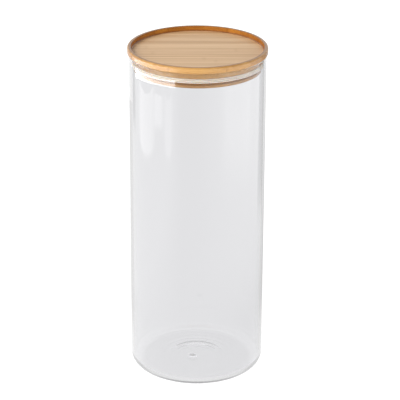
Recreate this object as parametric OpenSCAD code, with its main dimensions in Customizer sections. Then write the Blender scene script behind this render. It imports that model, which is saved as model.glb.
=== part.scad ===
// Lidded glass storage canister.
// A drawn glass jar with a closed, slightly domed base is shut by a turned bamboo lid. The lid
// is cut from a board of three glued plies. Its rim sits on the lip of the jar, its plug drops
// into the mouth, and a finned silicone ring in a groove round the plug seals it to the glass.
// The groove is taller than the ring, which lies against its top, where the glass drags it as
// the lid is pushed in.
//
// Millimetres, +Z up. The origin is the centre of the base, on the plane that the jar stands on.

/* [Jar] */
// Outside diameter of the glass
jar_d = 100; // [80:1:130]
// Height of the glass, from the table to the top of its lip
jar_h = 247; // [80:1:320]
// Thickness of the glass wall
wall = 2.2; // [1.6:0.1:2.6]
// Thickness of the glass base
base_t = 3; // [2.5:0.1:5]
// Outside radius of the round heel between base and wall
heel_r = 7; // [5:0.5:9]
// Width of the flat ring under the base that the jar stands on
foot_w = 9; // [4:0.5:12]
// Height of the shallow dome inside that ring
push_up = 0.9; // [0.4:0.1:1.4]
// Width of the drop of glass left in the middle of the floor, where the tube was sealed off
drop_w = 9; // [6:0.5:12]
// Height of that drop above the floor
drop_h = 1.1; // [0.6:0.1:1.6]

/* [Lid] */
// How far the lid's rim stands out past the glass, all round
overhang = 1; // [0.5:0.1:3]
// Thickness of the rim, from the lip of the jar to the top of the lid
rim_t = 4.5; // [4:0.1:5]
// Width of the raised border round the tray in the top of the lid
border_w = 2.7; // [2:0.1:5]
// Depth of the tray
tray_depth = 3.7; // [1:0.1:4]
// Depth of the plug below the lip of the jar
plug_depth = 12; // [11.5:0.5:13]
// Gap between the plug and the inside of the glass
plug_gap = 1.6; // [1:0.1:3]

/* [Seal] */
// Distance from the underside of the rim down to the groove
groove_drop = 4.9; // [4:0.1:5]
// Height of the groove for the silicone ring
groove_h = 4.9; // [4.6:0.1:5.1]
// Depth of the groove into the plug
groove_depth = 2.2; // [1.6:0.1:3]
// Height of the silicone ring
ring_h = 3.1; // [2.8:0.1:3.4]
// Number of fins round the silicone ring
fin_count = 3; // [2:1:3]

/* [Hidden] */
$fn = 128;

// Clearances: the rim over the lip, the ring in its groove, and the fins inside the glass.
seat_gap = 0.05;
ring_gap = 0.06;
fin_gap = 0.1;

// How far one solid reaches into another that it is joined to.
bite = 0.1;

// Small edge breaks and rounds.
lip_r = wall / 2;
cove_r = 1;
rim_edge_r = 1.2;
border_chamfer = 0.4;
under_chamfer = 0.4;
plug_chamfer = 0.8;

// Radii, from the outside in.
jar_r = jar_d / 2;
bore_r = jar_r - wall;
floor_r = heel_r - wall;
dome_r = jar_r - heel_r - foot_w;
rim_r = jar_r + overhang;
tray_r = rim_r - border_w;
plug_r = bore_r - plug_gap;
groove_r = plug_r - groove_depth;

// Heights, from the table up.
rim_under = jar_h + seat_gap;
lid_top = rim_under + rim_t;
tray_floor = lid_top - tray_depth;
plug_end = rim_under - plug_depth;
groove_top = rim_under - groove_drop;
groove_end = groove_top - groove_h;
ply_t = (rim_t + plug_depth) / 3;
top_joint = lid_top - ply_t;
low_joint = plug_end + ply_t;

// The silicone ring: a flat band with fins that lean up a little where the glass drags them.
band_t = 1.5;
fin_root_t = 0.8;
fin_tip_t = 0.4;
fin_lean = 0.2;
band_in_r = groove_r + ring_gap;
band_out_r = band_in_r + band_t;
fin_tip_r = bore_r - fin_gap;
band_end = groove_top - ring_gap - ring_h;
fin_pitch = (ring_h - fin_root_t) / (fin_count - 1);

// Radius of the circle whose cap has the given half width and height.
function cap_radius(half_w, h) = (half_w * half_w + h * h) / (2 * h);

// Half of a low cap that stands on the line z = 0, centred on the axis.
module cap_profile(half_w, h) {
    r = cap_radius(half_w, h);
    intersection() {
        translate([0, h - r])
            circle(r, $fn = 256);
        square([half_w, h]);
    }
}

// A rectangle from the axis out to r, whose lower outside corner is rounded.
module round_foot_profile(r, h, corner_r) {
    translate([0, corner_r])
        square([r, h - corner_r]);
    square([r - corner_r, corner_r]);
    translate([r - corner_r, corner_r])
        circle(corner_r);
}

// The space inside the jar, with the dome and the drop of the floor standing in it.
module cavity_profile() {
    difference() {
        translate([0, base_t])
            round_foot_profile(bore_r, jar_h, floor_r);
        translate([0, base_t])
            cap_profile(dome_r, push_up);
        translate([0, base_t + push_up - bite])
            cap_profile(drop_w / 2, drop_h + bite);
    }
}

// The jar is one piece of glass: a tube with a closed base and a fire-polished lip.
module glass_jar() {
    color([0.86, 0.9, 0.9, 0.35])
        rotate_extrude() {
            difference() {
                round_foot_profile(jar_r, jar_h - lip_r, heel_r);
                cavity_profile();
                cap_profile(dome_r, push_up);
            }
            translate([jar_r - lip_r, jar_h - lip_r])
                circle(lip_r, $fn = 48);
        }
}

// The rim before the tray is cut: chamfered under its edge and rounded over the top.
module rim_profile() {
    polygon([
        [0, rim_under],
        [rim_r - under_chamfer, rim_under],
        [rim_r, rim_under + under_chamfer],
        [rim_r, lid_top - rim_edge_r],
        [rim_r - rim_edge_r, lid_top - rim_edge_r],
        [rim_r - rim_edge_r, lid_top],
        [0, lid_top]
    ]);
    translate([rim_r - rim_edge_r, lid_top - rim_edge_r])
        circle(rim_edge_r, $fn = 48);
}

// The tray in the lid: a flat floor that curves up through a cove to a straight wall, whose
// top edge is broken with a small chamfer.
module tray_profile() {
    cut_top = lid_top + 1;
    translate([0, tray_floor])
        round_foot_profile(tray_r, cut_top - tray_floor, cove_r);
    polygon([
        [tray_r - border_chamfer, lid_top - border_chamfer],
        [tray_r, lid_top - border_chamfer],
        [tray_r + border_chamfer, lid_top],
        [tray_r + border_chamfer, cut_top],
        [tray_r - border_chamfer, cut_top]
    ]);
}

// Top ply: the rim and border, the tray, and the first millimetre of the plug.
module lid_top_ply() {
    color([0.86, 0.68, 0.44])
        rotate_extrude() {
            difference() {
                rim_profile();
                tray_profile();
            }
            translate([0, top_joint])
                square([plug_r, rim_under - top_joint]);
        }
}

// Middle ply: the plug's neck and the upper part of the groove.
module lid_middle_ply() {
    color([0.78, 0.58, 0.35])
        rotate_extrude() {
            translate([0, groove_top])
                square([plug_r, top_joint - groove_top]);
            translate([0, low_joint])
                square([groove_r, groove_top - low_joint]);
        }
}

// Bottom ply: the lower part of the groove and the land that keeps the ring on.
module lid_bottom_ply() {
    color([0.72, 0.5, 0.3])
        rotate_extrude() {
            translate([0, groove_end])
                square([groove_r, low_joint - groove_end]);
            translate([0, plug_end])
                polygon([
                    [0, 0],
                    [plug_r - plug_chamfer, 0],
                    [plug_r, plug_chamfer],
                    [plug_r, groove_end - plug_end],
                    [0, groove_end - plug_end]
                ]);
        }
}

// One fin of the silicone ring, from the band to the glass.
module fin_profile() {
    tip_z = (fin_root_t - fin_tip_t) / 2 + fin_lean;
    polygon([
        [band_out_r - bite, 0],
        [band_out_r, 0],
        [fin_tip_r, tip_z],
        [fin_tip_r, tip_z + fin_tip_t],
        [band_out_r, fin_root_t],
        [band_out_r - bite, fin_root_t]
    ]);
}

// The silicone ring: a flat band in the groove, with fins that wipe the glass.
module seal_ring() {
    color([0.93, 0.92, 0.9])
        rotate_extrude() {
            translate([band_in_r, band_end])
                square([band_t, ring_h]);
            for (i = [0 : fin_count - 1])
                translate([0, band_end + i * fin_pitch])
                    fin_profile();
        }
}

glass_jar();
lid_top_ply();
lid_middle_ply();
lid_bottom_ply();
seal_ring();
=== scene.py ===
# %% [markdown]
# # A glass storage jar with a bamboo lid
#
# The jar is one piece of clear glass, drawn as a tube and closed at the bottom in a flame. Its
# lid is glued up from three plies of bamboo and turned on a lathe, and a silicone ring with
# fins seals the plug to the glass. Every piece is round, so one small lathe, made with
# Geometry Nodes, turns them all from drawn outlines. Three finishes then do the rest: clear
# glass, oiled bamboo and milky silicone.

# %% Load the solid model that the pieces are fitted to
import math

import bmesh
import bpy
from mathutils import Matrix, Vector


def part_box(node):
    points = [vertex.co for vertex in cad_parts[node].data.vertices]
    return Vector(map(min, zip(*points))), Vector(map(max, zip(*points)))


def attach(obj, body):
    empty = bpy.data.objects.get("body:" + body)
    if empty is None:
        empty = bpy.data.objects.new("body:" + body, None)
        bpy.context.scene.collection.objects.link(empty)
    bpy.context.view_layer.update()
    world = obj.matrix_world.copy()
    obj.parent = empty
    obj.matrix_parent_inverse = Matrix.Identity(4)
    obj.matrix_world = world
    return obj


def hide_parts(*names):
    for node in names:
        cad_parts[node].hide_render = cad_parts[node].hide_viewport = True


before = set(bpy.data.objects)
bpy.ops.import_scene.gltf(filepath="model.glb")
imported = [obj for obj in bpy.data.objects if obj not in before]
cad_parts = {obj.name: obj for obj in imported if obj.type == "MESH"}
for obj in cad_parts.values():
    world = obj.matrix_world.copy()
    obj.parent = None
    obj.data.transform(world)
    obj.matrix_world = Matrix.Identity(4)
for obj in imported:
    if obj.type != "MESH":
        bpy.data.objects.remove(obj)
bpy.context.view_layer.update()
print("nodes:", sorted(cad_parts))

# %% [markdown]
# ## Sizes
#
# The solid model already knows how big everything is. A turned piece is told by its largest
# radius and by its lowest and highest level, so those are read from it, in millimetres.
# Rounds, wall and tray don't show in a box, so they are named here.

# %% Read the sizes
MM = 0.001


def reach(node):
    """The largest radius of a turned node, and its lowest and highest level, in millimetres.

    The solid is made of facets, so its box is a hair wider one way than the other. The smaller
    width keeps the piece inside it.
    """
    low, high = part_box(node)
    return min(high.x, high.y) / MM, low.z / MM, high.z / MM


jar_r, _, lip = reach("glass_jar")
rim_r, top_joint, lid_top = reach("lid_top_ply")
plug_r, plug_end, low_joint = reach("lid_bottom_ply")
fin_r, band_end, band_top = reach("seal_ring")

wall = 2.2
base_t = 3.0
heel_r = 7.0
dome_r = 34.0
dome_h = 0.9
rim_under = lip + 0.05
tray_r = 48.3
tray_depth = 3.7
tray_cove = 1.0
tray_floor = lid_top - tray_depth
groove_r = 44.0
groove_h = 4.9
groove_gap = 0.06
print(f"jar {2 * jar_r:.1f} across, lip at {lip:.1f}, lid top at {lid_top:.2f}")

# %% [markdown]
# ## The camera
#
# A long lens looks down on the jar from about 1.35 m away. It comes first, because every
# later choice of light and finish is judged through it. The camera is turned a quarter of a
# degree on its own axis, and its view is shifted sideways by a few pixels.

# %% Place the camera
AIM = Vector((0, 0, 130.9 * MM))
CAMERA_FAR = 1.352
CAMERA_UP = math.radians(22.66)
CAMERA_ROLL = math.radians(0.24)
LENS = 162.8
SHIFT = 0.0074

camera = bpy.data.objects.new("camera", bpy.data.cameras.new("camera"))
camera.data.sensor_width = 36
camera.data.lens = LENS
camera.data.shift_x = SHIFT
back = Vector((0, -math.cos(CAMERA_UP), math.sin(CAMERA_UP)))
side = Vector((1, 0, 0))
aimed = Matrix((side, back.cross(side), back)).transposed().to_4x4()
camera.matrix_world = (
    Matrix.Translation(AIM + CAMERA_FAR * back) @ aimed @ Matrix.Rotation(CAMERA_ROLL, 4, "Z")
)

scene = bpy.context.scene
scene.collection.objects.link(camera)
scene.camera = camera
scene.view_settings.view_transform = "Standard"
print("camera at", [round(c, 3) for c in camera.location])

# %% [markdown]
# ## Writing nodes as sums
#
# A finish is a long sum of patterns, and a sum is easier to read as Python than as a web of
# nodes. The class below wraps one output of a node. Adding or multiplying two of them adds a
# Math node, and `node` adds any other kind. It serves shaders and Geometry Nodes alike.

# %% A wire in a node tree


class Wire:
    """One output in a node tree. Sums on wires add Math nodes; node() adds any other node."""

    def __init__(self, tree, socket=None):
        self.tree = tree
        self.socket = socket

    def node(self, kind, settings=None, inputs=None, output=0):
        """Adds a node, sets it, feeds its inputs with values or wires, and gives one output."""
        made = self.tree.nodes.new(kind)
        for name, value in (settings or {}).items():
            if name == "stops":
                set_stops(made.color_ramp, value)
            else:
                setattr(made, name, value)
        for name, value in (inputs or {}).items():
            if isinstance(value, Wire):
                self.tree.links.new(value.socket, made.inputs[name])
            else:
                made.inputs[name].default_value = value
        return Wire(self.tree, made.outputs[output] if made.outputs else None)

    def out(self, name):
        """Another output of the node that this wire comes from."""
        return Wire(self.tree, self.socket.node.outputs[name])

    def math(self, operation, *values):
        """A Math node on the given values, which are wires or numbers."""
        return self.node("ShaderNodeMath", {"operation": operation}, dict(enumerate(values)))

    def rise(self, low, high):
        """A smooth step: 0 where this wire is at low, and 1 where it is at high."""
        return self.node(
            "ShaderNodeMapRange",
            {"interpolation_type": "SMOOTHSTEP"},
            {"Value": self, "From Min": low, "From Max": high},
        )

    def tinted(self, mask, tint):
        """This colour, multiplied by a tint where the mask is 1."""
        return self.node(
            "ShaderNodeMix",
            {"data_type": "RGBA", "blend_type": "MULTIPLY"},
            {0: mask, 6: self, 7: (*tint, 1)},
            output=2,
        )

    def __add__(self, other):
        return self.math("ADD", self, other)

    def __sub__(self, other):
        return self.math("SUBTRACT", self, other)

    def __rsub__(self, other):
        return self.math("SUBTRACT", other, self)

    def __mul__(self, other):
        return self.math("MULTIPLY", self, other)

    def __truediv__(self, other):
        return self.math("DIVIDE", self, other)

    def __rtruediv__(self, other):
        return self.math("DIVIDE", other, self)

    __radd__ = __add__
    __rmul__ = __mul__


def set_stops(ramp, stops):
    """Gives a colour ramp its stops, each a place from 0 to 1 and a colour."""
    while len(ramp.elements) < len(stops):
        ramp.elements.new(1)
    for element, (place, colour) in zip(ramp.elements, stops):
        element.position = place
        element.color = (*colour, 1)


print("a wire can:", ", ".join(name for name in vars(Wire) if not name.startswith("_")))

# %% [markdown]
# ## The lathe
#
# A turned piece could be a Screw modifier on an outline, or a Spin in a mesh editor. Here it
# is a grid that is wrapped round the axis: column i of the grid goes to angle i, and row j to
# point j of the outline. That keeps every point of the outline exactly, and it lets the tree
# add what a lathe can't: the faint waves that a glass tube keeps from the furnace, and a drop
# of glass that is a little off the middle. So each point of an outline carries three more
# values: how wavy it is, how far its ring is shifted to the side, and how far it sinks towards
# the front, which leaves only an arc of a raised ring.

# %% Build the lathe's node tree
WELD = 0.001 * MM


def lathe_tree():
    """The node tree that turns an outline, drawn in the XZ plane, round the Z axis."""
    tree = bpy.data.node_groups.new("lathe", "GeometryNodeTree")
    for name, kind in {
        "Outline": "NodeSocketGeometry",
        "Columns": "NodeSocketInt",
        "Closed": "NodeSocketInt",
        "Wave height": "NodeSocketFloat",
        "Wave width": "NodeSocketFloat",
        "Wave length": "NodeSocketFloat",
        "Seed": "NodeSocketFloat",
        "Finish": "NodeSocketMaterial",
    }.items():
        tree.interface.new_socket(name, in_out="INPUT", socket_type=kind)
    tree.interface.new_socket("Turned", in_out="OUTPUT", socket_type="NodeSocketGeometry")
    given = Wire(tree).node("NodeGroupInput", output="Outline")
    points = given.node(
        "GeometryNodeAttributeDomainSize", inputs={"Geometry": given}, output="Point Count"
    )
    rows = points + given.out("Closed")
    columns = given.out("Columns")
    grid = given.node(
        "GeometryNodeMeshGrid", inputs={"Vertices X": columns + 1, "Vertices Y": rows}
    )
    # Half a step goes in before each FLOOR, so that rounding can't slip by a row.
    index = given.node("GeometryNodeInputIndex")
    column = given.math("FLOOR", (index + 0.5) / rows)
    row = index - column * rows
    angle = column / columns * math.tau
    at = given.math("MODULO", row + 0.5, points)

    def drawn(kind, value):
        """What the outline has at this row."""
        return given.node(
            "GeometryNodeSampleIndex",
            {"data_type": kind, "domain": "POINT"},
            {"Geometry": given, "Value": value, "Index": given.math("FLOOR", at)},
        )

    spot = drawn("FLOAT_VECTOR", given.node("GeometryNodeInputPosition"))

    def carried(name, kind="FLOAT"):
        """A named value of the outline at this row."""
        named = given.node("GeometryNodeInputNamedAttribute", {"data_type": kind}, {"Name": name})
        return drawn(kind, named)

    apart = given.node("ShaderNodeSeparateXYZ", inputs={"Vector": spot})
    radius, level = apart.out("X"), apart.out("Z")
    across = radius / given.out("Wave width")
    noise = given.node(
        "ShaderNodeTexNoise",
        {"noise_dimensions": "4D"},
        {
            "Vector": given.node(
                "ShaderNodeCombineXYZ",
                inputs={
                    "X": across * given.math("COSINE", angle),
                    "Y": across * given.math("SINE", angle),
                    "Z": level / given.out("Wave length"),
                },
            ),
            "W": given.out("Seed"),
            "Scale": 1.0,
            "Detail": 1.0,
        },
    )
    radius = radius - noise * carried("wave") * given.out("Wave height")
    in_front = (1 - given.math("SINE", angle)) * 0.5
    place = given.node(
        "ShaderNodeCombineXYZ",
        inputs={
            "X": radius * given.math("COSINE", angle),
            "Y": radius * given.math("SINE", angle),
            "Z": level - carried("sink") * in_front,
        },
    )
    shifted = given.node(
        "ShaderNodeVectorMath", inputs={0: place, 1: carried("shift", "FLOAT_VECTOR")}
    )
    wrapped = given.node("GeometryNodeSetPosition", inputs={"Geometry": grid, "Position": shifted})
    welded = given.node(
        "GeometryNodeMergeByDistance", inputs={"Geometry": wrapped, "Distance": WELD}
    )
    smooth = given.node("GeometryNodeSetShadeSmooth", inputs={"Geometry": welded})
    real = given.node("GeometryNodeRealizeInstances", inputs={"Geometry": smooth})
    finished = given.node(
        "GeometryNodeSetMaterial", inputs={"Geometry": real, "Material": given.out("Finish")}
    )
    given.node("NodeGroupOutput", inputs={"Turned": finished})
    return tree


LATHE = lathe_tree()
print("lathe:", len(LATHE.nodes), "nodes")

# %% [markdown]
# ## Drawing outlines
#
# An outline is written as a few corners, each with its own rounding, because that is how a
# turner sees it: straights and the radius between them. Long straights get a point close to
# each end. Smooth shading then bends only round the corners and leaves the straights flat.

# %% Helpers that draw outlines
HOLD = 0.12
ROUND_STEPS = 6
STRAIGHT = math.radians(89)


def arc(centre, radius, start, end, steps):
    """Points on an arc, from one angle to another, in degrees from the outward direction."""
    angles = [math.radians(start + (end - start) * i / steps) for i in range(steps + 1)]
    return [
        (centre[0] + radius * math.cos(a), centre[1] + radius * math.sin(a)) for a in angles
    ]


def rounded(before, corner, after, radius):
    """The points that round a corner off with an arc; a corner that is straight stays."""
    here = Vector(corner)
    one = (Vector(before) - here).normalized()
    two = (Vector(after) - here).normalized()
    half = one.angle(two) / 2
    if half > STRAIGHT:
        return [corner]
    centre = here + (one + two).normalized() * radius / math.sin(half)
    first = here + one * radius / math.tan(half) - centre
    last = here + two * radius / math.tan(half) - centre
    turns = [first.slerp(last, i / ROUND_STEPS) for i in range(ROUND_STEPS + 1)]
    return [tuple(centre + radius * turn.normalized()) for turn in turns]


def outline(corners, closed=False):
    """Points of an outline from its corners, each (radius, level, rounding)."""
    points = []
    for i, (r, z, rounding) in enumerate(corners):
        if rounding:
            before = corners[i - 1][:2]
            after = corners[(i + 1) % len(corners)][:2]
            points += rounded(before, (r, z), after, rounding)
        else:
            points.append((r, z))
    return braced(points, closed)


def braced(points, closed=False):
    """The points, with one more near each end of every long straight."""
    made = []
    following = points[1:] + points[:1] * closed
    for here, there in zip(points, following):
        made.append(here)
        start, end = Vector(here), Vector(there)
        gap = (end - start).length
        if gap > 4 * HOLD:
            step = (end - start) * HOLD / gap
            made += [tuple(start + step), tuple(end - step)]
    return made + points[-1:] * (not closed)


cup = outline([(0, 0, 0), (40, 0, 5), (40, 60, 0)])
print(f"a cup with one round corner takes {len(cup)} points")

# %% [markdown]
# The lathe itself is then a modifier on the outline. Its result is turned into a plain mesh,
# so nothing is left to work out later, and the mesh is checked for open edges.

# %% Turn an outline into a piece
COLUMNS = 256

# Waves in drawn glass: a few hundredths of a millimetre deep, and long along the tube.
WAVE_HEIGHT = 0.05 * MM
WAVE_WIDTH = 9 * MM
WAVE_LENGTH = 60 * MM


def turn(name, points, finish, body, node, slot, closed=False, extra=None, seed=0.0):
    """Turns an outline in millimetres into a piece that stands for a node and rides its body."""
    mesh = bpy.data.meshes.new(name + "_outline")
    places = [(r * MM, 0, z * MM) for r, z in points]
    mesh.from_pydata(places, [(i, i + 1) for i in range(len(places) - 1)], [])
    for value in ("wave", "sink"):
        numbers = extra[value] if extra else [0.0] * len(points)
        mesh.attributes.new(value, "FLOAT", "POINT").data.foreach_set("value", numbers)
    shifts = [c for spot in extra["shift"] for c in spot] if extra else [0.0] * 3 * len(points)
    mesh.attributes.new("shift", "FLOAT_VECTOR", "POINT").data.foreach_set("vector", shifts)
    piece = bpy.data.objects.new(name, mesh)
    scene.collection.objects.link(piece)
    lathe = piece.modifiers.new("lathe", "NODES")
    lathe.node_group = LATHE
    values = {
        "Columns": COLUMNS,
        "Closed": int(closed),
        "Wave height": WAVE_HEIGHT,
        "Wave width": WAVE_WIDTH,
        "Wave length": WAVE_LENGTH,
        "Seed": seed,
        "Finish": finish,
    }
    for socket in LATHE.interface.items_tree:
        if socket.name in values:
            lathe[socket.identifier] = values[socket.name]
    made = bpy.data.meshes.new_from_object(
        piece.evaluated_get(bpy.context.evaluated_depsgraph_get())
    )
    piece.modifiers.remove(lathe)
    piece.data = made
    made.name = name
    point_outwards(made)
    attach(piece, body)
    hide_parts(node)
    print(f"{name}: {len(points)} outline points, {len(made.polygons)} faces")


def point_outwards(mesh):
    """Turns the faces round if they enclose a negative volume, and tells of open edges."""
    work = bmesh.new()
    work.from_mesh(mesh)
    if work.calc_volume(signed=True) < 0:
        bmesh.ops.reverse_faces(work, faces=work.faces)
    loose = [e for e in work.edges if len(e.link_faces) != 2]
    print("volume", round(work.calc_volume(signed=True) / MM**3), "mm3, open edges", len(loose))
    work.to_mesh(mesh)
    work.free()


# %% [markdown]
# ## Glass
#
# Clear borosilicate glass is a plain Principled shader with full transmission. What makes it
# look like glass is its thickness: at the sides of the jar one looks along the wall, through
# far more glass than in the middle, so a faint absorption draws the dark edges. Two kinds of
# ray get special care. Shadow rays pass straight through, so that the lamps reach the plug
# behind the wall. And light that is caught between the two faces of the wall, bouncing on and
# on, would be cut off as black; real glass leads it out at the rim. Here it ends instead on a
# painted glow of pale light that the glass gives off itself.

# %% Clear glass
GLASS_IOR = 1.47
GLASS_TINT = (0.98, 0.98, 0.99)
GLASS_SOAKS = 6.0
SMOKE = (0.2, 0.2, 0.22)
SHADOW_LEFT = 0.94
# After this many mirrorings in the wall, a ray ends on a painted glow of this strength.
CAUGHT_AFTER = 2.5
CAUGHT_GLOW = 0.62


def new_material(name):
    """A material with an empty tree, and a wire to start its nodes from."""
    material = bpy.data.materials.new(name)
    material.use_nodes = True
    material.node_tree.nodes.clear()
    return material, Wire(material.node_tree)


def clear_glass():
    """Clear drawn glass."""
    material, start = new_material("clear drawn glass")
    body = start.node(
        "ShaderNodeBsdfPrincipled",
        inputs={
            "Base Color": (*GLASS_TINT, 1),
            "Roughness": 0.0,
            "IOR": GLASS_IOR,
            "Transmission Weight": 1.0,
        },
    )
    path = start.node("ShaderNodeLightPath", output="Is Shadow Ray")
    # Painted light: a ray caught in the wall ends on a pale glow that the glass gives off itself.
    caught = start.math("GREATER_THAN", path.out("Glossy Depth"), CAUGHT_AFTER)
    pale = start.node(
        "ShaderNodeEmission", inputs={"Color": (1, 1, 1, 1), "Strength": CAUGHT_GLOW}
    )
    body = start.node("ShaderNodeMixShader", inputs={0: caught, 1: body, 2: pale})
    passing = (SHADOW_LEFT, SHADOW_LEFT, SHADOW_LEFT, 1)
    through = start.node("ShaderNodeBsdfTransparent", inputs={"Color": passing})
    surface = start.node("ShaderNodeMixShader", inputs={0: path, 1: body, 2: through})
    inside = start.node(
        "ShaderNodeVolumeAbsorption", inputs={"Color": (*SMOKE, 1), "Density": GLASS_SOAKS}
    )
    start.node("ShaderNodeOutputMaterial", inputs={"Surface": surface, "Volume": inside})
    return material


glass = clear_glass()
print("glass:", len(glass.node_tree.nodes), "nodes")

# %% [markdown]
# ## The grain of bamboo
#
# The lid is cut from strips of bamboo that are glued side by side, so its pattern runs through
# the wood and isn't painted on: strips, each in its own tone, with a thin dark glue line
# between them; fine fibres along the strip; and the fibre bundles, which are streaks on the
# faces and dots on the end grain. The pattern is worked out from the place in the wood, in
# millimetres, so every cut through it shows the right grain.

# %% Sizes and weights of the grain
# In millimetres: widths of a strip, a glue line, a fibre and a bundle, how far a strip wanders,
# how far apart the knuckles of the cane may lie, and half the width of one.
STRIP = 6.4
GLUE_LINE = 0.22
FIBRE = 0.55
BUNDLE = 1.1
WANDER = 0.8
KNUCKLES_APART = 260
KNUCKLE_HALF = 1.2

# The dark core of a bundle, as a share of its width.
CORE = 0.42

# How much each pattern lightens the wood, or darkens it.
MIDDLE_TONE = 0.50
WEIGHTS = {
    "own": 0.15,
    "fibres": 0.55,
    "streaks": 0.70,
    "broad": 0.25,
    "dots": -0.12,
    "glue": -0.16,
    "knuckle": -0.06,
}
print(f"strips {STRIP} mm wide, {2 * rim_r / STRIP:.0f} across the lid")

# %% The grain


def place_in_mm(start):
    """The three coordinates of a place in the wood, in millimetres."""
    place = start.node("ShaderNodeTexCoord", output="Object")
    scaled = start.node("ShaderNodeVectorMath", {"operation": "SCALE"}, {0: place, "Scale": 1 / MM})
    split = start.node("ShaderNodeSeparateXYZ", inputs={"Vector": scaled})
    return split, split.out("Y"), split.out("Z")


def drawn_out(place, along, across):
    """A place with the grain's length and width as its units."""
    x, y, z = place
    return x.node(
        "ShaderNodeCombineXYZ", inputs={"X": x / along, "Y": y / across, "Z": z / across}
    )


def streaky(place, along, across, detail, seed):
    """Noise drawn out along the strips, about 0.5 on average."""
    return place[0].node(
        "ShaderNodeTexNoise",
        {"noise_dimensions": "4D"},
        {
            "Vector": drawn_out(place, along, across),
            "W": seed,
            "Scale": 1.0,
            "Detail": detail,
            "Roughness": 0.6,
        },
    )


def grain(place, seed):
    """How light the wood is, about 0.5 on average, and its fibres, dots and glue lines."""
    x, y, _ = place
    wander = (streaky(place, 90, 30, 1, seed) - 0.5) * WANDER
    beside = y / STRIP + seed + wander / STRIP
    strip = x.math("FLOOR", beside)
    across = beside - strip
    own = x.node("ShaderNodeTexWhiteNoise", {"noise_dimensions": "1D"}, {"W": strip + seed * 7.3})
    to_edge = x.math("MINIMUM", across, 1 - across) * STRIP
    glue = x.math("MAXIMUM", 1 - to_edge / GLUE_LINE, 0.0)
    fibres = streaky(place, 45, FIBRE, 3, seed + 3.1)
    streaks = streaky(place, 140, 2.2, 2, seed + 5.2)
    broad = streaky(place, 160, 6.0, 2, seed + 9.7)
    bundles = x.node(
        "ShaderNodeTexVoronoi", inputs={"Vector": drawn_out(place, 160, BUNDLE), "Scale": 1.0}
    )
    dots = x.math("MAXIMUM", 1 - bundles / CORE, 0.0)
    off = (x - (own - 0.5) * KNUCKLES_APART + (fibres - 0.5) * 5) / KNUCKLE_HALF
    knuckle = 1 / (1 + off * off * off * off)
    shade = (
        MIDDLE_TONE
        + (own - 0.5) * WEIGHTS["own"]
        + (fibres - 0.5) * WEIGHTS["fibres"]
        + (streaks - 0.5) * WEIGHTS["streaks"]
        + (broad - 0.5) * WEIGHTS["broad"]
        + dots * WEIGHTS["dots"]
        + glue * WEIGHTS["glue"]
        + knuckle * WEIGHTS["knuckle"]
    )
    return shade, fibres, dots, glue


print("the grain mixes:", ", ".join(WEIGHTS))

# %% [markdown]
# ## Where the lathe has been
#
# The flat floor of the tray is cut along the grain and stays pale. Everything else on the lid
# has been turned and oiled, which leaves it golden. The wall of the tray cuts across the fibres
# and drinks the most oil, and its deep orange is partly painted shade as well: the dim light
# that bounces about inside the tray. A dark line in the cove at its foot is painted shade, where
# the wall meets the floor, and the flat top of the border is darkened with painted shade too.
# Wherever the surface faces along the grain, its end grain is duller. Each of these is a mask
# made from the place in the wood, and a tint.

# %% Oiled bamboo
BAMBOO_TONES = [
    (0.0, (0.31, 0.155, 0.068)),
    (0.35, (0.54, 0.328, 0.163)),
    (0.6, (0.69, 0.46, 0.257)),
    (1.0, (0.86, 0.64, 0.41)),
]
GOLDEN = (0.645, 0.505, 0.25)
# The wall's deep orange is partly painted shade: the dim light that bounces about inside the tray.
SOAKED_AND_SHADED = (1.0, 0.70, 0.24)
# Painted shade: a dark line in the cove, where the tray's wall meets its floor.
COVE_SHADE = (0.62, 0.48, 0.38)
END_GRAIN = (0.84, 0.76, 0.66)
# Painted shade on the flat top of the border.
BORDER_SHADE = (0.60, 0.49, 0.33)

# Sanded wood under a thin coat of oil, with the fibres standing a few hundredths proud.
SANDED = 0.38
OIL_COAT = 0.1
OIL_SHINE = 0.22
FIBRE_DEPTH = 0.05


def cuts(place):
    """Masks of the turned faces, the tray's wall, the cove at its foot and the border's top."""
    x, y, z = place
    radius = x.math("SQRT", x * x + y * y)
    foot = tray_r - 1.1
    beyond = radius.rise(foot, tray_r - 0.3)
    inside = radius.rise(tray_r + 0.25, tray_r - 0.05)
    turned = x.math("MAXIMUM", beyond, z.rise(rim_under, rim_under - 0.2))
    wall_face = z.rise(tray_floor + 0.1, tray_floor + 0.9) * beyond * inside
    # The cove at the wall's foot, where a painted shade darkens the wood.
    cove = radius.rise(foot, tray_r - 0.6) * inside
    cove = cove * z.rise(tray_floor + 1.2, tray_floor + 0.5) * z.rise(top_joint, tray_floor)
    # The flat top of the border, which a painted shade darkens.
    border = radius.rise(tray_r - 0.1, tray_r + 0.2) * radius.rise(tray_r + 2.3, tray_r + 1.3)
    return turned, wall_face, cove, border * z.rise(lid_top - 0.8, lid_top - 0.3)


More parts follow.
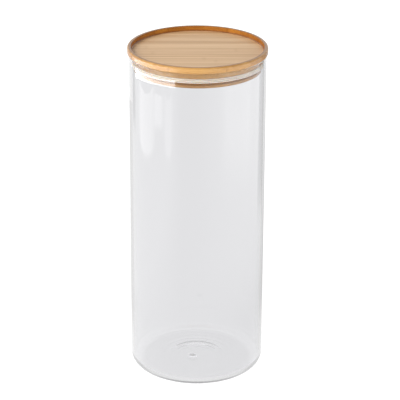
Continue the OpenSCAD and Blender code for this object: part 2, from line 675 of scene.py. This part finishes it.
def oiled_bamboo(name, seed, tone):
    """Bamboo with its grain along X. tone lifts or lowers the whole ply, from -1 to 1."""
    material, start = new_material(name)
    place = place_in_mm(start)
    shade, fibres, dots, glue = grain(place, seed)
    turned, wall_face, cove, border = cuts(place)
    facing = start.node("ShaderNodeTexCoord", output="Normal")
    along = start.node("ShaderNodeSeparateXYZ", inputs={"Vector": facing})
    end_grain = start.math("ABSOLUTE", along).rise(0.55, 1.0)
    colour = start.node("ShaderNodeValToRGB", {"stops": BAMBOO_TONES}, {"Fac": shade + tone})
    colour = colour.tinted(turned, GOLDEN)
    # The wall's tint is partly painted shade, the dim light inside the tray.
    colour = colour.tinted(wall_face, SOAKED_AND_SHADED)
    # Painted shade in the cove at the foot of the wall.
    colour = colour.tinted(cove, COVE_SHADE)
    # Painted shade on the border's flat top.
    colour = colour.tinted(border, BORDER_SHADE)
    colour = colour.tinted(end_grain, END_GRAIN)
    height = fibres * 0.6 - dots * 0.4 - glue * 0.5
    dents = start.node(
        "ShaderNodeBump",
        inputs={"Height": height, "Strength": 0.5, "Distance": FIBRE_DEPTH * MM},
    )
    body = start.node(
        "ShaderNodeBsdfPrincipled",
        inputs={
            "Base Color": colour,
            "Roughness": SANDED + fibres * 0.2 + dots * 0.1 - turned * 0.12 + wall_face * 0.3,
            "Coat Weight": OIL_COAT + (turned - wall_face) * 0.35,
            "Coat Roughness": OIL_SHINE,
            "Normal": dents,
        },
    )
    start.node("ShaderNodeOutputMaterial", inputs={"Surface": body})
    return material


bamboo_top = oiled_bamboo("oiled bamboo, top", 1.3, 0.04)
# The middle ply shows as the neck under the rim; its lighter tone is painted light that lifts the
# rim's shade there.
bamboo_middle = oiled_bamboo("oiled bamboo, middle", 5.9, 0.22)
bamboo_bottom = oiled_bamboo("oiled bamboo, bottom", 11.2, -0.04)
print("bamboo:", len(bamboo_top.node_tree.nodes), "nodes in each of three plies")

# %% [markdown]
# ## Silicone
#
# The seal is food silicone: milky, a little see-through where it is thin, and matt from the
# mould. Scattering under the surface lights the gaps between its fins, and a very fine noise
# breaks its shine.

# %% Milky silicone
# Two tones of a faint cloudiness, the roughness, and how far light scatters in, in millimetres.
MILKY_TONES = [(0.2, (0.96, 0.82, 0.70)), (0.8, (0.98, 0.90, 0.79))]
MATT = 0.42
SCATTERS_IN = 2.0


def milky_silicone():
    """Matt, milky silicone rubber."""
    material, start = new_material("milky silicone")
    place = start.node("ShaderNodeTexCoord", output="Object")
    cloud = start.node(
        "ShaderNodeTexNoise", inputs={"Vector": place, "Scale": 90.0, "Detail": 2.0}
    )
    pores = start.node(
        "ShaderNodeTexNoise", inputs={"Vector": place, "Scale": 2600.0, "Detail": 3.0}
    )
    colour = start.node("ShaderNodeValToRGB", {"stops": MILKY_TONES}, {"Fac": cloud})
    dents = start.node(
        "ShaderNodeBump", inputs={"Height": pores, "Strength": 0.3, "Distance": 0.03 * MM}
    )
    body = start.node(
        "ShaderNodeBsdfPrincipled",
        inputs={
            "Base Color": colour,
            "Roughness": MATT + pores * 0.16,
            "Subsurface Weight": 0.8,
            "Subsurface Radius": (1.0, 0.8, 0.6),
            "Subsurface Scale": SCATTERS_IN * MM,
            "Normal": dents,
        },
    )
    start.node("ShaderNodeOutputMaterial", inputs={"Surface": body})
    return material


silicone = milky_silicone()
print("silicone:", len(silicone.node_tree.nodes), "nodes")

# %% [markdown]
# ## The jar
#
# The outline runs from the middle of the underside, round the heel, up the outside, over the
# lip and down the inside to the middle of the floor. The floor keeps the marks of the flame
# that closed the tube: a low dome, faint rings that fade towards the front, and a drop of glass
# a few millimetres off the middle.

# %% Turn the jar
# The drop's radius, height and shift, and the rings: the radius and height of each.
DROP_R = 4.8
DROP_H = 1.5
DROP_SHIFT = Vector((-3.0, -5.0, 0)) * MM
RING_SHIFT = Vector((0, -2.0, 0)) * MM
RINGS = [(16.5, 0.28), (21.0, 0.36), (26.5, 0.14), (40.4, 0.06)]
RING_HALF = 1.9

# Radii inside which the drop and the rings are shifted, and beyond which they are not.
DROP_ZONE = 6, 13
RING_ZONE = 22, 34

ARC_STEPS = 14
DOME_STEPS = 68
WALL_STEPS = 40
FLOOR_STEPS = 108


def eased(share):
    """A share from 0 to 1, with both ends eased."""
    share = min(max(share, 0.0), 1.0)
    return share * share * (3 - 2 * share)


def within(r, zone):
    """1 inside a zone's first radius and 0 beyond its second, eased between them."""
    first, second = zone
    return eased((second - r) / (second - first))


def swell(r, middle, half, height):
    """A smooth round swelling of the given half width and height."""
    away = min(abs(r - middle) / half, 1)
    return height * (0.5 + 0.5 * math.cos(math.pi * away))


def dome(r):
    """Rise of the base at a radius."""
    return dome_h * max(0.0, 1 - (r / dome_r) ** 2)


def rings(r):
    """Rise of the floor's rings at a radius."""
    return sum(swell(r, middle, RING_HALF, height) for middle, height in RINGS)


def floor_level(r):
    """Level of the inside floor at a radius."""
    return base_t + dome(r) + rings(r) + swell(r, 0, DROP_R, DROP_H)


def levels(low, high):
    """Levels up a straight wall, with one close to each end."""
    steps = [low + (high - low) * i / WALL_STEPS for i in range(1, WALL_STEPS)]
    return [low + HOLD, *steps, high - HOLD]


def jar_outline():
    """The jar's outline, and how wavy, how sunk in front and how far aside each point is."""
    bore_r = jar_r - wall
    lip_r = wall / 2
    floor_r = heel_r - wall
    foot_out = jar_r - heel_r
    steps = [dome_r * i / DOME_STEPS for i in range(DOME_STEPS + 1)]
    outside = [(r, dome(r)) for r in steps] + arc((foot_out, heel_r), heel_r, -90, 0, ARC_STEPS)
    outside += [(jar_r, z) for z in levels(heel_r, lip - lip_r)]
    over = arc((jar_r - lip_r, lip - lip_r), lip_r, 0, 180, ARC_STEPS)
    inside = [(bore_r, z) for z in reversed(levels(base_t + floor_r, lip - lip_r))]
    inside += arc((bore_r - floor_r, base_t + floor_r), floor_r, 0, -90, ARC_STEPS)
    floor_radii = [foot_out * i / FLOOR_STEPS for i in reversed(range(FLOOR_STEPS))]
    sinks = [0.0] * len(outside + over + inside) + [rings(r) * MM for r in floor_radii]
    inside += [(r, floor_level(r)) for r in floor_radii]
    waves = [0.0 if r < foot_out else 0.4 for r, _ in outside] + [0.0] * len(over)
    waves += [1.0 if base_t + floor_r < z < plug_end - 5 else 0.0 for r, z in inside]
    shifts = [Vector()] * len(outside + over)
    for r, _ in inside:
        in_drop = within(r, DROP_ZONE)
        shifts.append(DROP_SHIFT * in_drop + RING_SHIFT * (within(r, RING_ZONE) - in_drop))
    return outside + over + inside, {"wave": waves, "sink": sinks, "shift": shifts}


points, extra = jar_outline()
turn("jar", points, glass, "jar", "glass_jar", "clear_glass", extra=extra, seed=2.0)

# %% [markdown]
# ## The lid
#
# Three plies, glued and then turned together. Their outlines meet at the glue lines, where a
# hair of a chamfer is left, as the sander leaves it. The tray in the top is sunk with a round
# cutter, so its floor runs up through a cove to its wall.

# %% Turn the three plies
EASED = 0.06
RIM_EDGE = 1.2
groove_top = band_top + groove_gap
groove_end = groove_top - groove_h

turn(
    "lid_top",
    outline(
        [
            (0, top_joint, 0),
            (plug_r, top_joint, EASED),
            (plug_r, rim_under, 0.15),
            (rim_r, rim_under, 0.4),
            (rim_r, lid_top, RIM_EDGE),
            (tray_r, lid_top, 0.45),
            (tray_r, tray_floor, tray_cove),
            (0, tray_floor, 0),
        ]
    ),
    bamboo_top,
    "lid",
    "lid_top_ply",
    "bamboo_top",
)
turn(
    "lid_middle",
    outline(
        [
            (0, low_joint, 0),
            (groove_r, low_joint, EASED),
            (groove_r, groove_top, 0.15),
            (plug_r, groove_top, 0.25),
            (plug_r, top_joint, EASED),
            (0, top_joint, 0),
        ]
    ),
    bamboo_middle,
    "lid",
    "lid_middle_ply",
    "bamboo_middle",
)
turn(
    "lid_bottom",
    outline(
        [
            (0, plug_end, 0),
            (plug_r, plug_end, 0.7),
            (plug_r, groove_end, 0.25),
            (groove_r, groove_end, 0.15),
            (groove_r, low_joint, EASED),
            (0, low_joint, 0),
        ]
    ),
    bamboo_bottom,
    "lid",
    "lid_bottom_ply",
    "bamboo_bottom",
)

# %% [markdown]
# ## The seal
#
# A flat band that sits in the groove, with fins that reach out to the glass. Its outline is a
# closed loop that never touches the axis, so the lathe is told to close it.

# %% Turn the seal
FINS = 3
FIN_ROOT = 0.8
FIN_TIP = 0.4
FIN_LEAN = 0.2
BAND_T = 1.5


def seal_corners():
    """Corners of the seal's outline, from its lower inside edge up and round."""
    band_in = groove_r + groove_gap
    band_out = band_in + BAND_T
    pitch = (band_top - band_end - FIN_ROOT) / (FINS - 1)
    corners = [(band_in, band_end, 0.2), (band_in, band_top, 0.2)]
    for i in reversed(range(FINS)):
        foot = band_end + i * pitch
        tip = foot + (FIN_ROOT - FIN_TIP) / 2 + FIN_LEAN
        corners.append((band_out, foot + FIN_ROOT, 0.1))
        corners.append((fin_r, tip + FIN_TIP, 0.18))
        corners.append((fin_r, tip, 0.18))
        corners.append((band_out, foot, 0.1))
    return corners


turn(
    "seal",
    outline(seal_corners(), closed=True),
    silicone,
    "seal",
    "seal_ring",
    "silicone",
    closed=True,
)

# %% [markdown]
# ## The floor
#
# The floor is pale and plain, and it does four jobs, one for each kind of ray. To the camera
# it glows almost white and still takes the jar's shadow. Through the glass it is a flat pale
# grey, with painted shade that makes it a little darker under the base and to its right.
# Mirrored in the glass, it is brighter to the left and right than in front, which draws the
# long soft bands in the wall. To everything else it is an ordinary pale floor.

# %% Floor
FLOOR_SIZE = 6.0
FLOOR_DROP = 0.1 * MM

# How much the floor glows: to the camera close to the jar, to plain rays, through the glass,
# how much a painted shade darkens it under the base, and in the mirror of the glass.
NEAR_JAR = 0.8
TO_THE_REST = 0.8
THROUGH_GLASS = 0.80
SHADE_UNDER_BASE = 0.08
IN_THE_MIRROR = 0.30


def pale_floor():
    """A floor that is white to the camera but keeps its shadows, and pale grey in the glass."""
    material, start = new_material("pale floor")

    def level(glow, tone):
        """A floor that glows by itself and also takes light and shadow."""
        lit = start.node("ShaderNodeBsdfDiffuse", inputs={"Color": (tone, tone, tone, 1)})
        shine = start.node("ShaderNodeEmission", inputs={"Color": (1, 1, 1, 1), "Strength": glow})
        return start.node("ShaderNodeAddShader", inputs={0: lit, 1: shine})

    place = start.node("ShaderNodeTexCoord", output="Object")
    x = start.node("ShaderNodeSeparateXYZ", inputs={"Vector": place})
    away = start.node("ShaderNodeVectorMath", {"operation": "LENGTH"}, {0: place}, "Value")
    to_camera = level(start.math("MINIMUM", away * 0.3 + NEAR_JAR, 1.0), 0.3)
    plain = level(TO_THE_REST, 0.8)
    to_left = start.math("MINIMUM", (x.out("Y") * 0.7 - x * 1.5) / 0.3, 1.0)
    to_right = start.math("MINIMUM", x / 0.45, 1.3)
    beside = start.math("MAXIMUM", start.math("MAXIMUM", to_left, to_right), 0.0)
    in_gloss = level(beside * 0.9 + away.rise(0.16, 0.06) * 0.5 + IN_THE_MIRROR, 0.04)
    # Painted shade: seen through the glass, the floor is darker under the base and to its right.
    under = away.rise(0.0435, 0.039) * SHADE_UNDER_BASE
    shade_on_the_right = start.math("MAXIMUM", x, 0.0) * away.rise(0.2, 0.06) * 0.6
    through_glass = level(THROUGH_GLASS - under - shade_on_the_right, 0.03)
    path = start.node("ShaderNodeLightPath", output="Is Camera Ray")
    surface = plain
    for ray, looks in {
        "Is Glossy Ray": in_gloss,
        "Is Transmission Ray": through_glass,
        "Is Camera Ray": to_camera,
    }.items():
        surface = start.node("ShaderNodeMixShader", inputs={0: path.out(ray), 1: surface, 2: looks})
    start.node("ShaderNodeOutputMaterial", inputs={"Surface": surface})
    return material


floor_mesh = bpy.data.meshes.new("floor")
half = FLOOR_SIZE / 2
corners = [(x * half, y * half, -FLOOR_DROP) for x, y in ((-1, -1), (1, -1), (1, 1), (-1, 1))]
floor_mesh.from_pydata(corners, [], [(0, 1, 2, 3)])
floor_mesh.materials.append(pale_floor())
floor = bpy.data.objects.new("floor", floor_mesh)
scene.collection.objects.link(floor)
print(f"floor: {FLOOR_SIZE} m across")

# %% [markdown]
# ## World and lamps
#
# The world is white to the camera and through the glass. To the rest of the scene it is a pale
# backdrop behind the jar and a dim room before it. A large softbox stands high on the left,
# with small ones at the height of the jar on both sides and another in front, which light the
# plug under its rim. The glass sees none of these lamps: their shapes would show in it too hard.

# %% World and softboxes
WORLD_BEHIND = 0.55
WORLD_BEFORE = 0.18
GLOSS_BEFORE = 0.25


def studio_world():
    """White to the camera and through glass; otherwise pale behind the jar and dim before it."""
    world = bpy.data.worlds.new("studio")
    world.use_nodes = True
    world.node_tree.nodes.clear()
    start = Wire(world.node_tree)
    split = start.node(
        "ShaderNodeSeparateXYZ", inputs={"Vector": start.node("ShaderNodeTexCoord")}
    )
    behind = split.out("Y").rise(-0.3, 0.5)
    path = start.node("ShaderNodeLightPath", output="Is Camera Ray")
    plain = behind * (WORLD_BEHIND - WORLD_BEFORE) + WORLD_BEFORE
    in_gloss = behind * (1 - GLOSS_BEFORE) + GLOSS_BEFORE
    gloss = path.out("Is Glossy Ray")
    level = plain + (in_gloss - plain) * gloss
    seen = start.math("MAXIMUM", path, path.out("Is Transmission Ray"))
    level = level + (1 - level) * seen
    sky = start.node("ShaderNodeBackground", inputs={"Color": (1, 1, 1, 1), "Strength": level})
    start.node("ShaderNodeOutputWorld", inputs={"Surface": sky})
    return world


def softbox(name, azimuth, distance, level, width, height, glow):
    """A soft lamp at an azimuth, counted clockwise from the camera's side, aimed at the jar."""
    lamp = bpy.data.lights.new(name, "AREA")
    lamp.shape = "ELLIPSE"
    lamp.size = width
    lamp.size_y = height
    area = width * height * math.pi / 4
    lamp.energy = glow * area * math.pi
    box = bpy.data.objects.new(name, lamp)
    turn_by = math.radians(azimuth)
    box.location = (-distance * math.sin(turn_by), -distance * math.cos(turn_by), level)
    aim = Vector((0, 0, min(level, lid_top * MM))) - box.location
    box.rotation_euler = aim.to_track_quat("-Z", "Y").to_euler()
    box.visible_camera = False
    box.visible_glossy = False
    box.visible_transmission = False
    scene.collection.objects.link(box)
    print(f"{name}: {lamp.energy:.1f} W over {area:.3f} m2")


scene.world = studio_world()
softbox("key softbox", 62, distance=1.30, level=1.16, width=1.60, height=1.40, glow=5.0)
softbox("side softbox", 46, distance=1.20, level=0.30, width=0.50, height=0.50, glow=4.0)
softbox("front softbox", -20, distance=1.50, level=0.55, width=0.90, height=0.60, glow=6.6)
softbox("right softbox", -62, distance=1.20, level=0.30, width=0.50, height=0.50, glow=3.2)

# %% [markdown]
# ## Streaks in the glass
#
# The bright streaks down a glass jar are the shapes of windows and softboxes, mirrored in its
# wall. In a studio one places a card, looks, and moves it. Here the place is worked out
# instead: for a spot on the wall, `mirrored` follows the camera's line of sight, reflects it in
# the wall, and gives the place on the floor where it ends. A card that stands there starts
# at just that spot in the mirror. The cards are seen by mirrored rays alone. The flags
# among them are darker than the floor behind them, and darken the edges of the jar.

# %% Cards
CARD_COLUMNS = 24
FOOT_ROWS = 6


def mirrored(azimuth, level):
    """Where the camera sees the floor in the mirror of the wall, at an azimuth and a level."""
    turn_by = math.radians(azimuth)
    outward = Vector((-math.sin(turn_by), -math.cos(turn_by), 0))
    spot = outward * jar_r * MM + Vector((0, 0, level * MM))
    looking = (spot - camera.location).normalized()
    away = looking - 2 * looking.dot(outward) * outward
    return spot - away * spot.z / away.z


def card(name, start_at, end_at, level, height, glow, soft, soft_foot, taper=0, soft_top=0):
    """A glowing card, bent so that the wall mirrors its foot at one level, between two azimuths.

    Its sides fade over soft degrees, its foot over soft_foot metres and its top over soft_top
    metres. A taper lifts the mirrored foot at both sides, in millimetres, so that the streak
    ends in a tip.
    """
    material, start = new_material(name)
    fade = start.node("ShaderNodeAttribute", {"attribute_name": "fade"}, output="Fac")
    shine = start.node("ShaderNodeEmission", inputs={"Color": (1, 1, 1, 1), "Strength": glow})
    clear = start.node("ShaderNodeBsdfTransparent")
    surface = start.node("ShaderNodeMixShader", inputs={0: fade, 1: clear, 2: shine})
    start.node("ShaderNodeOutputMaterial", inputs={"Surface": surface})
    spots, fades, faces = [], [], []
    rows = [soft_foot * j / (FOOT_ROWS - 1) for j in range(FOOT_ROWS)]
    rows += [height - soft_top, height] if soft_top else [height]
    for i in range(CARD_COLUMNS + 1):
        azimuth = start_at + (end_at - start_at) * i / CARD_COLUMNS
        off_middle = 2 * i / CARD_COLUMNS - 1
        foot = mirrored(azimuth, level + taper * off_middle**2)
        from_side = min(abs(azimuth - start_at), abs(azimuth - end_at)) / soft
        for up in rows:
            spots.append((foot.x, foot.y, up))
            from_top = (height - up) / soft_top if soft_top else 1
            fades.append(eased(from_side) * eased(up / soft_foot) * min(from_top, 1))
    for i in range(CARD_COLUMNS):
        for j in range(len(rows) - 1):
            corner = i * len(rows) + j
            faces.append((corner, corner + len(rows), corner + len(rows) + 1, corner + 1))
    mesh = bpy.data.meshes.new(name)
    mesh.from_pydata(spots, [], faces)
    mesh.attributes.new("fade", "FLOAT", "POINT").data.foreach_set("value", fades)
    mesh.materials.append(material)
    made = bpy.data.objects.new(name, mesh)
    for ray in ("camera", "diffuse", "transmission", "shadow", "volume_scatter"):
        setattr(made, "visible_" + ray, False)
    scene.collection.objects.link(made)
    print(f"{name}: mirrored from {level} mm up, it stands {foot.length:.2f} m away")


seen = mirrored(45, 120)
print(f"120 mm up, at 45 degrees, the wall mirrors the floor {seen.length:.2f} m away")

# %% [markdown]
# The streaks first. The two long ones on the left end in a tip, about a third of the way down
# the jar, and a short one joins them at the top. The strongest is mirrored just under the rim,
# where it washes over the left of the plug. It stands farthest away, so the nearer cards are
# kept low enough to leave the line of sight to it open.

# %% Place the streaks
card("left streak", 35, 59, level=174, height=0.072, glow=2.7, soft=6, soft_foot=0.012, taper=18)
card("narrow streak", 19, 30, level=176, height=0.068, glow=2.4, soft=4, soft_foot=0.012, taper=22)
card(
    "plug streak",
    17.5,
    63,
    level=235.2,
    height=0.075,
    glow=12.0,
    soft=1.5,
    soft_foot=0.0015,
    soft_top=0.05,
)
card("upper streak", 27, 42, level=200, height=0.041, glow=3.0, soft=5, soft_foot=0.012)
card("right streak", -54, -17, level=148, height=0.15, glow=2.2, soft=9, soft_foot=0.08)

# %% [markdown]
# Then the flags. A dark card takes light away from the glass, as black paper does in a studio,
# and that draws the edges of the jar against a white background.

# %% Place the flags
card("left flag", 62.5, 69, level=190, height=0.12, glow=0.3, soft=1.5, soft_foot=0.03)
card("edge flag", 66, 86, level=20, height=0.20, glow=0.85, soft=8, soft_foot=0.03)
card("right flag", -75, -61, level=115, height=0.25, glow=0.2, soft=2.5, soft_foot=0.05)

# %% [markdown]
